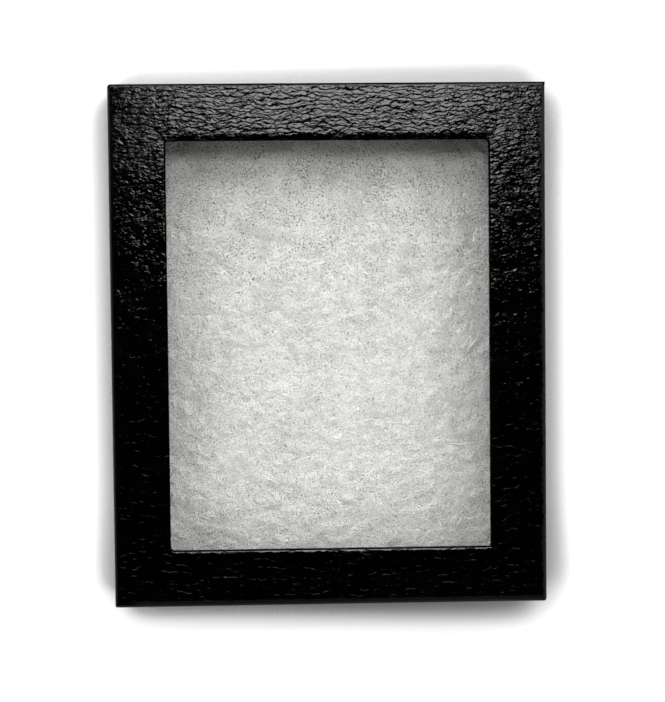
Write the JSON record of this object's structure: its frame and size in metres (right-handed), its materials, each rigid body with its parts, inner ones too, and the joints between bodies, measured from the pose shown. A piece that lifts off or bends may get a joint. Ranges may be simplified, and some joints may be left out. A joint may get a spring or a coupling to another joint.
{
  "type": "specimen display case",
  "caption": "Flat telescoping specimen case of paper-covered board, with a glazed window in the lid over a tray filled with a white fibre pad.",
  "frame": {"origin": "middle of the flat back of the tray, with the case lying on it", "axes": "+Z out through the glass, +Y to the top of the case as it is displayed, +X to the viewer's right"},
  "size_m": [0.127, 0.1524, 0.0191],
  "materials": {
    "covering_paper": "black paper embossed with a leather grain, satin",
    "back_sheet": "smooth black paper, matt",
    "chipboard": "plain grey-brown chipboard",
    "stay_tape": "gummed brown kraft paper",
    "glass": "clear float glass with seamed edges",
    "fibre": "white polyester fibre batting"
  },
  "bodies": {
    "tray": {"tray_floor_board": "chipboard", "tray_wall_left": "chipboard", "tray_wall_right": "chipboard", "tray_wall_top": "chipboard", "tray_wall_bottom": "chipboard", "tray_corner_stay_top_left": "stay_tape", "tray_corner_stay_top_right": "stay_tape", "tray_corner_stay_bottom_left": "stay_tape", "tray_corner_stay_bottom_right": "stay_tape", "tray_wrap": "covering_paper", "tray_back_sheet": "back_sheet", "fibre_pad": "fibre"},
    "lid": {"lid_face_board": "chipboard", "lid_wall_left": "chipboard", "lid_wall_right": "chipboard", "lid_wall_top": "chipboard", "lid_wall_bottom": "chipboard", "lid_corner_stay_top_left": "stay_tape", "lid_corner_stay_top_right": "stay_tape", "lid_corner_stay_bottom_left": "stay_tape", "lid_corner_stay_bottom_right": "stay_tape", "lid_wrap": "covering_paper", "glass_pane": "glass", "glass_strip_left": "chipboard", "glass_strip_right": "chipboard", "glass_strip_top": "chipboard", "glass_strip_bottom": "chipboard"}
  },
  "joints": [
    {"name": "lid_lift", "type": "slide", "parent": "tray", "child": "lid", "axis": [0, 0, 1], "range_m": [0, 0.04]}
  ]
}
